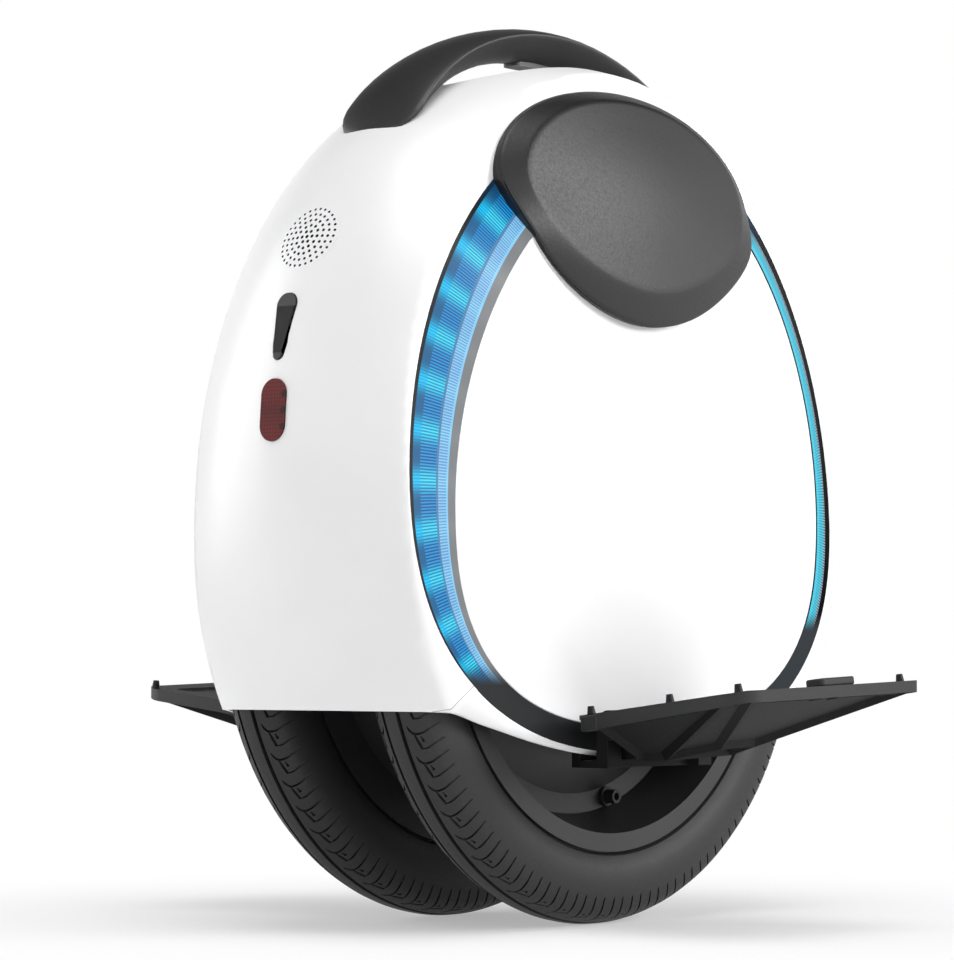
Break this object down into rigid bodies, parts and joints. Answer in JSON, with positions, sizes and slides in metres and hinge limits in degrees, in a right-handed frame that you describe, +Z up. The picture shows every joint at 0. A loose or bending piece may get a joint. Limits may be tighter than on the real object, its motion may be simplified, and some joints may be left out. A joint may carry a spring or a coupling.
{
  "type": "electric unicycle",
  "caption": "Self-balancing electric unicycle: white egg-shaped shell, lit side rings, leg pads, strap handle, folding pedals and twin tyres on one hub motor.",
  "frame": {"origin": "on the floor, under the middle of the shell", "axes": "+X forward (head light), -X rear (tail light), +Y left, +Z up; the axle lies along Y"},
  "size_m": [0.4159, 0.438, 0.5002],
  "materials": {
    "shell_white": "gloss",
    "panel_white": "gloss",
    "ring_smoke": "gloss",
    "ring_light": "satin",
    "tray_black": "matte",
    "pad_black": "grained",
    "handle_black": "satin",
    "switch_grey": "satin",
    "button_grey": "gloss",
    "grille_black": "matte",
    "flap_rubber": "matte",
    "socket_black": "matte",
    "tail_red": "gloss",
    "head_clear": "gloss",
    "board_green": "satin",
    "driver_black": "matte",
    "liner_black": "matte",
    "battery_blue": "satin",
    "sink_metal": "satin",
    "hanger_metal": "satin",
    "bright_steel": "satin",
    "core_steel": "matte",
    "coil_copper": "satin",
    "drum_metal": "satin",
    "rim_metal": "satin",
    "tyre_rubber": "matte",
    "tube_rubber": "matte",
    "valve_rubber": "satin",
    "pedal_metal": "fine grain",
    "stud_steel": "satin",
    "block_rubber": "matte",
    "cable_rubber": "matte"
  },
  "bodies": {
    "frame": {"axle": "bright_steel", "battery_front": "battery_blue", "battery_rear": "battery_blue", "charge_socket": "socket_black", "controller_board": "board_green", "handle": "handle_black", "hanger_bolts_left": "bright_steel", "hanger_bolts_right": "bright_steel", "hanger_left": "hanger_metal", "hanger_right": "hanger_metal", "head_board": "board_green", "head_lens": "head_clear", "heat_sink": "sink_metal", "leg_pad_left": "pad_black", "leg_pad_right": "pad_black", "light_guide_left": "ring_light", "light_guide_right": "ring_light", "lower_skirt_left": "shell_white", "lower_skirt_right": "shell_white", "main_shell": "shell_white", "motor_cable": "cable_rubber", "panel_tray_left": "tray_black", "panel_tray_right": "tray_black", "pedal_pin_left": "bright_steel", "pedal_pin_right": "bright_steel", "ring_lens_left": "ring_smoke", "ring_lens_right": "ring_smoke", "side_panel_left": "panel_white", "side_panel_right": "panel_white", "speaker_driver": "driver_black", "speaker_grille": "grille_black", "stator_coils": "coil_copper", "stator_core": "core_steel", "tail_board": "board_green", "tail_lens": "tail_red", "wheel_liner": "liner_black"},
    "wheel": {"bearing_left": "bright_steel", "bearing_right": "bright_steel", "inner_tube_left": "tube_rubber", "inner_tube_right": "tube_rubber", "motor_cover_left": "drum_metal", "motor_cover_right": "drum_metal", "rim_left": "rim_metal", "rim_right": "rim_metal", "rotor_drum": "drum_metal", "rotor_magnets": "bright_steel", "tyre_left": "tyre_rubber", "tyre_right": "tyre_rubber", "valve_stem_left": "valve_rubber", "valve_stem_right": "valve_rubber"},
    "pedal_left": {"pedal_block_left": "block_rubber", "pedal_left": "pedal_metal", "pedal_studs_left": "stud_steel"},
    "pedal_right": {"pedal_block_right": "block_rubber", "pedal_right": "pedal_metal", "pedal_studs_right": "stud_steel"},
    "charge_flap": {"charge_flap": "flap_rubber"},
    "power_button": {"power_button": "button_grey"},
    "lift_switch": {"lift_switch": "switch_grey"}
  },
  "joints": [
    {"name": "wheel_spin", "type": "hinge", "parent": "frame", "child": "wheel", "pos_m": [-0.0065, 0, 0.178], "axis": [0, 1, 0], "continuous": true},
    {"name": "pedal_left_fold", "type": "hinge", "parent": "frame", "child": "pedal_left", "pos_m": [-0.0065, 0.1, 0.11], "axis": [1, 0, 0], "range_deg": [0, 80]},
    {"name": "pedal_right_fold", "type": "hinge", "parent": "frame", "child": "pedal_right", "pos_m": [-0.0065, -0.1, 0.11], "axis": [-1, 0, 0], "range_deg": [0, 80]},
    {"name": "charge_flap_swing", "type": "hinge", "parent": "frame", "child": "charge_flap", "pos_m": [-0.20172, 0, 0.30514], "axis": [0, -1, 0], "range_deg": [0, 100]},
    {"name": "power_button_press", "type": "slide", "parent": "frame", "child": "power_button", "axis": [0, 0, -1], "range_m": [0, 0.002], "stiffness_N_per_m": 400},
    {"name": "lift_switch_press", "type": "slide", "parent": "frame", "child": "lift_switch", "axis": [0, 0, 1], "range_m": [0, 0.002], "stiffness_N_per_m": 400}
  ]
}
